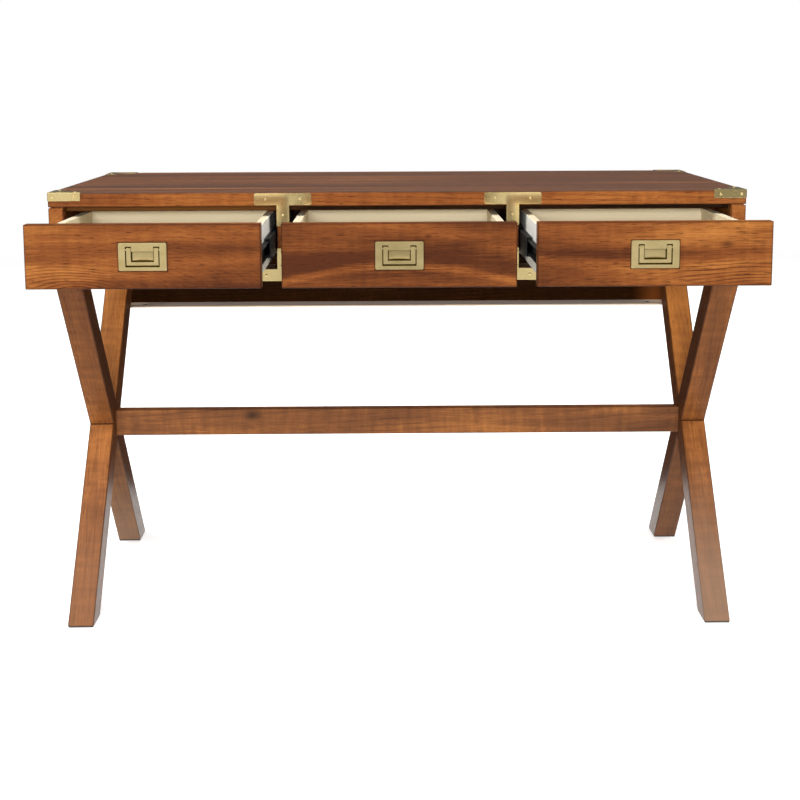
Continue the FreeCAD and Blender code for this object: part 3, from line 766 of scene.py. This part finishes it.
class DeskStageSettings(bpy.types.PropertyGroup):
    """Studio floor, lights and camera."""

    floor: colour_setting("Floor", "Pale studio floor", (0.86, 0.86, 0.85))
    glow: number_setting("Floor glow", "Strength of the lit floor", 0.12)
    wall: number_setting("Screens", "Power of a square metre of the front screens", 1.75)
    low: number_setting("Low light", "Power of the low front softbox", 540.0, unit="POWER")
    key: number_setting("Key light", "Power of the high front softbox", 47.0, unit="POWER")
    top: number_setting("Top light", "Power of the overhead softbox", 88.0, unit="POWER")
    back: number_setting("Back light", "Power of the rear softbox", 130.0, unit="POWER")
    card: number_setting("Cards", "Power of each small front card", 0.16, unit="POWER")
    side: number_setting("Side lights", "Power of each high side softbox", 60.0, unit="POWER")
    sky: number_setting("Room light", "Strength of the room's own light", 0.09)
    lens: number_setting("Lens", "Focal length in millimetres", 58.695, unit="CAMERA")
    station: bpy.props.FloatVectorProperty(
        name="Camera place",
        description="Where the camera stands",
        default=(-0.01677, -2.4286, 0.93843),
        subtype="TRANSLATION",
        unit="LENGTH",
    )
    pitch: number_setting("Pitch", "Camera tilt below level", math.radians(7.4), subtype="ANGLE")
    yaw: number_setting("Yaw", "Camera turn to the right", math.radians(0.526), subtype="ANGLE")
    roll: number_setting("Roll", "Camera roll", math.radians(-0.235), subtype="ANGLE")
    rise: number_setting("Vertical shift", "Vertical shift of the frame", -0.1821)


class DeskSettings(bpy.types.PropertyGroup):
    """All settings of the desk."""

    wood: group_setting("Wood", "Stains of the boards and legs", DeskWoodSettings)
    metal: group_setting("Metal", "Colours and sizes of the metal parts", DeskMetalSettings)
    box: group_setting("Boxes", "Paint of the drawer boxes, and the pads", DeskBoxSettings)
    stage: group_setting("Studio", "Floor, lights and camera", DeskStageSettings)


# Operators

class DeskOperator:
    """Shared parts of the desk's operators."""

    bl_options = {"REGISTER", "UNDO"}

    @staticmethod
    def tones(wood, boards=""):
        """The dark, main and golden stain of the boards, or of those that a prefix names."""
        return [tuple(getattr(wood, boards + tone)) for tone in ("dark", "middle", "golden")]


class DESK_OT_boards(DeskOperator, bpy.types.Operator):
    """Stain the top, the case ends, the dividers, the rails and the back panel, with painted shade
    on the back panel, the dividers and the front rails, and painted light on the top, the back
    panel's right end and the left of the front top rail
    """

    bl_idname = "desk.boards"
    bl_label = "Case boards"

    def execute(self, context):
        wood = context.scene.desk.wood
        tones = self.tones(wood)
        painted_shade_tones = (tuple(wood.painted_shade_dark), tuple(wood.painted_shade_middle), tones[1])
        # Painted shade: the shaded boards take the near-black tones at a low level
        shaded = dict(tones=painted_shade_tones, level=0.10)
        end = dict(grain=BACKWARD, lines=0.25)
        # Painted shade: both faces of each divider are near black, for the shade inside the case;
        # its edges are brown
        divider = dict(
            shaded, grain=BACKWARD, pith=(0.02, -0.08), tilt=0.05, lines=0.2, sides=0.8
        )
        rail = dict(grain=RIGHTWARD, face=FORWARD, pith=(0.01, -0.09), tilt=0.03, lines=0.2)
        # Painted light: a golden tint on the left part of the front top rail, where light reaches
        # it; the rest of the rail is painted shade
        painted_lit_left = (tones[2], 0.24, -0.25, -0.40)
        boards = {
            "left_end_panel": dict(end, face=LEFTWARD, seed=2.0, pith=(0.02, -0.07), tilt=0.06),
            "right_end_panel": dict(end, face=RIGHTWARD, seed=3.0, pith=(-0.02, -0.06), tilt=0.05),
            "left_divider": dict(divider, face=RIGHTWARD, seed=4.0),
            "right_divider": dict(divider, face=LEFTWARD, seed=5.0),
            # Painted shade: the front bottom rail's top, bottom and ends are darker than its front
            # and back, for the shade under the drawers
            "front_bottom_rail": dict(rail, seed=6.0, sides=-0.5),
            "back_bottom_rail": dict(rail, seed=7.0),
            "front_top_rail": {**rail, **shaded, "seed": 8.0, "lines": 0.5, "painted_light": painted_lit_left},
            "back_top_rail": dict(rail, seed=9.0),
        }
        common = dict(tones=tones, level=0.58, edge=0.002, twin=True)
        figures = {node: {**common, **figure} for node, figure in boards.items()}
        figures["desk_top"] = dict(
            grain=RIGHTWARD, face=UPWARD, seed=6.4, tones=tones, pith=(0.07, -0.30), tilt=0.02,
            lines=0.2, level=0.23, cloud=0.7, gloss=0.18, edge=0.0025, sides=0.25, sweep=-0.05,
            # The top's grey tint is a painted sheen, in place of its grazing reflection
            stripes=1.9, strands=(0.9, 30.0), painted_light=(tuple(wood.painted_light), 0.33, *ALL_OVER),
            bands=TOP_BANDS,
        )
        # The back panel's front face is painted shade, darker than its rear face; a painted lit
        # patch warms the right end of its front
        figures["back_panel"] = dict(
            grain=RIGHTWARD, face=FORWARD, seed=10.0, tones=painted_shade_tones, pith=(0.03, -0.10),
            tilt=0.05, lines=0.3, level=0.40, cloud=0.3, gloss=0.04, sides=0.45,
            painted_light=(tones[1], 0.9, 0.87, 0.96),
        )
        for node, figure in figures.items():
            dress(node, stained_wood(node, ring=wood.ring, **figure))
        return {"FINISHED"}


class DESK_OT_fronts(DeskOperator, bpy.types.Operator):
    """Stain the three drawer fronts, each with its own figure"""

    bl_idname = "desk.fronts"
    bl_label = "Drawer fronts"

    def execute(self, context):
        wood = context.scene.desk.wood
        ivory = tuple(context.scene.desk.box.ivory)
        for name in DRAWERS:
            node = name + "_drawer_front"
            low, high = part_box(name + "_pull_plate")
            centre = middle_of(node).z
            left_low, left_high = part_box(name + "_drawer_left_side")
            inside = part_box(name + "_drawer_right_side")[0].x - left_high.x
            material = stained_wood(
                node, RIGHTWARD, FORWARD, tones=self.tones(wood), ring=0.8 * wood.ring, cloud=0.9,
                edge=0.0025, stripes=0.75,
                plate_shadow=((low.z + high.z) / 2 - centre, (high.x - low.x) / 2, (high.z - low.z) / 2),
                lining=(ivory, inside / 2, left_low.z - centre, left_high.z - centre),
                **FRONT_FIGURES[name],
            )
            dress(node, material)
        return {"FINISHED"}


class DESK_OT_legs(DeskOperator, bpy.types.Operator):
    """Stain the crossed legs along their length, and the stretcher between them"""

    bl_idname = "desk.legs"
    bl_label = "Legs and stretcher"

    def execute(self, context):
        wood = context.scene.desk.wood
        tones = self.tones(wood, "leg_")
        foot = tuple(wood.foot)
        # Each leg: seed, level, sweep, and the strength of its painted floor reflection. The levels
        # are partly painted light: the two legs whose show face turns up towards the lamps are
        # paler than the two whose show face turns down.
        legs = {
            "left_leg_front_foot": (14.0, 0.61, 0.28, 0.13),
            "left_leg_back_foot": (15.0, 0.47, -0.36, 0.54),
            "right_leg_front_foot": (16.0, 0.63, 0.48, 0.43),
            "right_leg_back_foot": (17.0, 0.46, 0.06, 0.08),
        }
        for node, (seed, level, sweep, floor_reflection) in legs.items():
            low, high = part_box(node)
            section = high.x - low.x
            rise = high.z - low.z
            reach = high.y - low.y
            length = math.hypot(reach, rise)
            lean = math.atan2(reach, rise) - math.asin(section / length)
            way = 1.0 if "front_foot" in node else -1.0
            material = stained_wood(
                node,
                grain=(0.0, way * math.sin(lean), math.cos(lean)),
                face=(0.0, -math.cos(lean), way * math.sin(lean)),
                seed=seed, tones=tones, ring=wood.leg_ring, pith=(0.06, -0.09), tilt=0.03,
                # sides=-0.45 is painted shade: every face but the show face is darker, so the inner
                # faces of the legs read as shaded
                lines=0.12, level=level, cloud=0.8, edge=0.003, sides=-0.45, sweep=sweep,
                stripes=0.5, open_pores=0.40, curls=0.5, sheen=0.34, gloss=0.06,
                # painted reflection of the floor, stronger towards the foot
                painted_light=(foot, floor_reflection, *FOOTWARD),
                half=(length / 2, section / 2, section / 2),
                joint=(-way * section / 2 * math.tan(lean), section / 2),
            )
            dress(node, material)
        material = stained_wood(
            "stretcher", RIGHTWARD, FORWARD, seed=20.0, tones=tones, ring=wood.leg_ring,
            pith=(0.05, -0.06), tilt=0.04, lines=0.25, knot=(-0.276, 0.013, 0.018, 0.9),
            level=0.46, sweep=-0.06, cloud=1.1, edge=0.002, stripes=1.0, open_pores=0.45,
            # a faint painted floor reflection over the whole stretcher
            curls=0.6, painted_light=(foot, 0.05, *ALL_OVER),
        )
        dress("stretcher", material)
        return {"FINISHED"}


class DESK_OT_boxes(DeskOperator, bpy.types.Operator):
    """Paint the drawer boxes ivory"""

    bl_idname = "desk.boxes"
    bl_label = "Drawer boxes"

    def execute(self, context):
        box = context.scene.desk.box
        ivory = tuple(box.ivory)
        # Painted light: the box sides are a paler copy of the ivory, and whiter still outside
        painted_lit_sides = dict(colour=scaled(ivory, 1.2), outer=tuple(box.outer))
        boards = {
            "left_side": dict(painted_lit_sides, grain=BACKWARD, face=RIGHTWARD),
            "right_side": dict(painted_lit_sides, grain=BACKWARD, face=LEFTWARD),
            "back": dict(colour=ivory, grain=RIGHTWARD, face=FORWARD),
            "bottom": dict(colour=ivory, grain=RIGHTWARD, face=UPWARD),
        }
        for place, name in enumerate(DRAWERS):
            for step, (board, coat) in enumerate(boards.items()):
                node = f"{name}_drawer_{board}"
                dress(node, painted_box(node, seed=4.0 * place + step, **coat))
        return {"FINISHED"}


class DESK_OT_brass(DeskOperator, bpy.types.Operator):
    """Finish the corner caps, the T-plates and their nails in satin brass"""

    bl_idname = "desk.brass"
    bl_label = "Corner caps and T-plates"

    def execute(self, context):
        colour = tuple(context.scene.desk.metal.brass)
        brass = satin_brass(
            "plate_brass", 1.0, scaled(colour, 1.5), patches=(20.0, 24.0, 0.8), sheen=0.10,
            metal=0.85, groove=0.000003,
        )
        caps = [f"{end}_{side}_cap" for end in ("front", "back") for side in ("left", "right")]
        for node in caps + ["upper_tee_plates", "lower_tee_plates"]:
            dress(node, brass)
        dress("plate_nails", satin_brass("nail_brass", 2.0, scaled(colour, 1.4)))
        return {"FINISHED"}


class DESK_OT_pulls(DeskOperator, bpy.types.Operator):
    """Finish the flush pulls and set the raised pad inside each bail"""

    bl_idname = "desk.pulls"
    bl_label = "Flush pulls"

    def execute(self, context):
        metal = context.scene.desk.metal
        colour = tuple(metal.brass)
        warp = 0.001
        face = -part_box("middle_pull_plate")[0].y
        # The pull plates carry painted shade in their recesses
        plate_brass = satin_brass("pull_plate_brass", 3.0, colour, warp, face, eased=0.0003)
        brass = satin_brass("pull_pad_brass", 5.0, colour, warp)
        bail_brass = satin_brass("bail_brass", 4.0, colour, warp, eased=0.0003)
        for name in DRAWERS:
            dress(f"{name}_pull_plate", plate_brass)
            dress(f"{name}_pull_pins", brass)
            dress(f"{name}_bail", bail_brass)
            plate_low, plate_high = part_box(f"{name}_pull_plate")
            bail_low, bail_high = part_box(f"{name}_bail")
            pad = finger_pad(
                centre=(plate_low.x + plate_high.x) / 2,
                floor=plate_high.y - POCKET_WALL,
                half_width=(bail_high.x - bail_low.x) / 2 - PAD_SIDE,
                top=bail_high.z - PAD_TOP,
                low=bail_low.z + PAD_FOOT,
                rise=metal.pad_rise,
            )
            make_piece(f"{name}_pull_pad", pad, brass, f"{name}_drawer")
        return {"FINISHED"}


class DESK_OT_slides(DeskOperator, bpy.types.Operator):
    """Blacken the drawer slides and put their screws in"""

    bl_idname = "desk.slides"
    bl_label = "Drawer slides"

    def execute(self, context):
        metal = context.scene.desk.metal
        steel = dark_steel("slide_steel", tuple(metal.slide))
        screw_steel = plated_steel("slide_screw_steel", tuple(metal.fixing))
        dress("cabinet_slides", steel)
        for name in DRAWERS:
            dress(f"{name}_middle_slides", steel)
            dress(f"{name}_drawer_slides", steel)
            low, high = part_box(f"{name}_drawer_slides")
            level = (low.z + high.z) / 2
            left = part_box(f"{name}_drawer_left_side")[0].x - SLIDE_SHEET
            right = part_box(f"{name}_drawer_right_side")[1].x + SLIDE_SHEET
            screws = []
            for share in SCREW_SHARES:
                row = low.y + share * (high.y - low.y)
                screws.append(pan_screw((left, row, level), LEFTWARD, metal.screw_radius))
                screws.append(pan_screw((right, row, level), RIGHTWARD, metal.screw_radius))
            make_piece(
                f"{name}_slide_screws", joined(screws), screw_steel, f"{name}_drawer",
                smooth=False,
            )
        return {"FINISHED"}


class DESK_OT_fixings(DeskOperator, bpy.types.Operator):
    """Make the frame bolts, and finish the screws, the ledge and the foot pads"""

    bl_idname = "desk.fixings"
    bl_label = "Bolts, ledge and pads"

    def execute(self, context):
        settings = context.scene.desk
        plated = plated_steel("fixing_plate", tuple(settings.metal.fixing))
        dress("case_screws", plated)
        dress("frame_bolts", plated)
        ledge_low, ledge_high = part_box("back_ledge")
        hole = (ledge_high.x - HOLE_FROM_END, ledge_low.y + HOLE_FROM_FRONT, HOLE_RADIUS)
        dress("back_ledge", ledge_paint("ledge_coat", tuple(settings.metal.ledge), hole))
        dress("foot_glides", foot_plastic("pad_plastic", tuple(settings.box.pad)))
        rail_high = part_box("front_bottom_rail")[1]
        leg_low, leg_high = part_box("right_leg_front_foot")
        bolts_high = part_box("frame_bolts")[1]
        head_height = bolts_high.z - rail_high.z
        column = (leg_low.x + rail_high.x) / 2
        row = bolts_high.y - BOLT_HEAD
        crossing = (leg_low.z + leg_high.z) / 2
        crossing_grip = leg_high.x - leg_low.x + STRETCHER_BITE
        bolts = []
        for side in (-1, 1):
            for end in (-1, 1):
                base = (side * column, end * row, rail_high.z)
                bolts.append(bolt(base, UPWARD, head_height, BOLT_LENGTH))
            base = (side * leg_high.x, 0.0, crossing)
            bolts.append(bolt(base, (side, 0, 0), head_height, crossing_grip))
        make_piece(
            "socket_bolts", joined(bolts), plated, "case", smooth=False,
            replaced=("frame_bolts",),
        )
        return {"FINISHED"}


class DESK_OT_stage(DeskOperator, bpy.types.Operator):
    """Lay the studio floor and set the lights and the camera"""

    bl_idname = "desk.stage"
    bl_label = "Studio"

    def execute(self, context):
        stage = context.scene.desk.stage
        self.lay_floor(stage)
        self.set_lights(stage)
        self.set_room(context.scene, stage)
        self.set_camera(context.scene, stage)
        context.scene.view_settings.view_transform = "Standard"
        return {"FINISHED"}

    def lay_floor(self, stage):
        """A round floor: points at polar (r, a) on the ground, in rings that widen outwards."""
        ring = np.array(FLOOR_RINGS)[:, None]
        angle = full_turn(64)
        x = ring * np.cos(angle)
        points = np.stack((x, ring * np.sin(angle), np.zeros_like(x)), axis=-1).reshape(-1, 3)
        surface = points, grid_faces(len(ring), len(angle), True)
        floor = make_object("studio_floor", surface, self.floor_paint(stage))

    @staticmethod
    def floor_paint(stage):
        """Pale paint that fades out at the rim: lit for the camera, and in gloss near the front."""
        finish = Finish("floor_paint")
        point = finish.place()
        x, y = finish.parts(point)[:2]
        colour = tuple(stage.floor)
        mottle = finish.noise(point, (1.5, 1.5))
        tint = finish.mix(mottle, scaled(colour, 0.97), colour)
        seen = finish.add("ShaderNodeLightPath", output="Is Camera Ray")
        mirrored = finish.add("ShaderNodeLightPath", output="Is Glossy Ray")
        behind = finish.ramp((y - 0.5) / 0.1, RISE)
        under = finish.ramp((y + 0.9) / 0.3, RISE)
        tint = finish.mix(behind * (1.0 - seen), tint, SHADE)
        tint = finish.mix(0.5 - seen * 0.5, tint, SHADE)
        glow = finish.mix(mirrored * under * (1.0 - behind), tint, MIRRORED_GLOW)
        return finish.close(
            Base_Color=tint,
            Alpha=finish.ramp(span(x, y) / FLOOR_RINGS[-1], [(0.40, 1.0), (0.95, 0.0)]),
            Roughness=0.6,
            Specular_IOR_Level=0.2,
            Emission_Color=finish.mix(seen, glow, SEEN_GLOW),
            Emission_Strength=stage.glow,
        )

    @staticmethod
    def softbox(name, place, target, size, power, mirrored=False):
        """A flat light; one that isn't mirrored lights surfaces without showing in their gloss."""
        light = bpy.data.lights.new(name, "AREA")
        light.shape = "RECTANGLE"
        light.size, light.size_y = size
        light.energy = power
        lamp = bpy.data.objects.new(name, light)
        lamp.visible_glossy = mirrored
        aim = (Vector(target) - Vector(place)).to_track_quat("-Z", "Y")
        lamp.matrix_world = Matrix.Translation(place) @ aim.to_matrix().to_4x4()
        bpy.context.scene.collection.objects.link(lamp)

    def set_lights(self, stage):
        """Two screens that the brass mirrors, the softboxes, and two cards for the T-plates."""
        screens = {"left_screen": (-1.79, 2.6, 6.76), "right_screen": (0.93, 0.86, 2.24)}
        for name, (x, width, area) in screens.items():
            power = area * stage.wall
            self.softbox(name, (x, -4.0, 1.3), (x, 0.0, 1.3), (width, 2.6), power, mirrored=True)
        softboxes = {
            "low_softbox": ((-0.6, -8.5, 1.9), (0.0, 0.0, 0.6), (3.0, 1.0), stage.low),
            "key_softbox": ((-0.9, -3.2, 3.3), (0.0, -0.2, 0.5), (2.6, 1.4), stage.key, True),
            "top_softbox": ((-0.3, -1.6, 3.3), (0.0, -0.35, 0.6), (3.2, 1.6), stage.top),
            "back_softbox": ((0.4, 4.2, 2.2), (0.0, 0.0, 0.5), (2.0, 1.6), stage.back),
            "left_softbox": ((-2.9, -0.9, 3.2), (-0.4, -0.2, 0.5), (1.4, 1.4), stage.side),
            "right_softbox": ((2.9, -0.9, 3.2), (0.4, -0.2, 0.5), (1.4, 1.4), stage.side),
        }
        for name, settings in softboxes.items():
            self.softbox(name, *settings)
        for name, x in (("left_card", -0.565), ("right_card", 0.60)):
            place, target = (x, -3.95, 0.42), (x, 0.0, 0.42)
            self.softbox(name, place, target, (0.16, 0.50), stage.card, mirrored=True)

    @staticmethod
    def set_room(scene, stage):
        """A dim room that the camera sees as white."""
        room = Finish("studio", "worlds")
        dim = room.add("ShaderNodeBackground", {}, {"Color": WHITE, "Strength": stage.sky})
        white = room.add("ShaderNodeBackground", {}, {"Color": WHITE})
        seen = room.add("ShaderNodeLightPath", output="Is Camera Ray")
        blend = room.add("ShaderNodeMixShader", {}, {0: seen, 1: dim, 2: white})
        room.add("ShaderNodeOutputWorld", {}, {"Surface": blend})
        scene.world = room.owner

    @staticmethod
    def set_camera(scene, stage):
        """The camera at its station, turned by yaw, pitch and roll."""
        pitch, yaw, roll = stage.pitch, stage.yaw, stage.roll
        sine, cosine = math.sin(yaw), math.cos(yaw)
        forward = Vector((sine * math.cos(pitch), cosine * math.cos(pitch), -math.sin(pitch)))
        right = Vector((cosine, -sine, 0.0))
        up = Vector((sine * math.sin(pitch), cosine * math.sin(pitch), math.cos(pitch)))
        across = right * math.cos(roll) + up * math.sin(roll)
        above = up * math.cos(roll) - right * math.sin(roll)
        data = bpy.data.cameras.new("studio_camera")
        data.sensor_width = SENSOR_WIDTH
        data.lens = stage.lens
        data.shift_y = stage.rise
        camera = bpy.data.objects.new("studio_camera", data)
        turn = Matrix((across, above, -forward)).transposed().to_4x4()
        camera.matrix_world = Matrix.Translation(stage.station) @ turn
        scene.collection.objects.link(camera)
        scene.camera = camera


class DESK_PT_panel(bpy.types.Panel):
    """The desk's pieces and its studio"""

    bl_idname = "DESK_PT_panel"
    bl_label = "Campaign desk"
    bl_space_type = "VIEW_3D"
    bl_region_type = "UI"
    bl_category = "Desk"

    def draw(self, context):
        for operator in OPERATORS:
            self.layout.operator(operator.bl_idname)


GROUPS = (DeskWoodSettings, DeskMetalSettings, DeskBoxSettings, DeskStageSettings, DeskSettings)
OPERATORS = (
    DESK_OT_boards,
    DESK_OT_fronts,
    DESK_OT_legs,
    DESK_OT_boxes,
    DESK_OT_brass,
    DESK_OT_pulls,
    DESK_OT_slides,
    DESK_OT_fixings,
    DESK_OT_stage,
)
CLASSES = GROUPS + OPERATORS + (DESK_PT_panel,)


def register():
    for kind in CLASSES:
        bpy.utils.register_class(kind)
    bpy.types.Scene.desk = group_setting("Desk", "All settings of the desk", DeskSettings)


def unregister():
    del bpy.types.Scene.desk
    for kind in reversed(CLASSES):
        bpy.utils.unregister_class(kind)


def main():
    """Register the add-on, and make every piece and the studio."""
    register()
    bpy.ops.desk.boards()
    bpy.ops.desk.fronts()
    bpy.ops.desk.legs()
    bpy.ops.desk.boxes()
    bpy.ops.desk.brass()
    bpy.ops.desk.pulls()
    bpy.ops.desk.slides()
    bpy.ops.desk.fixings()
    bpy.ops.desk.stage()
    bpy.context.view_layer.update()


if __name__ == "__main__":
    main()
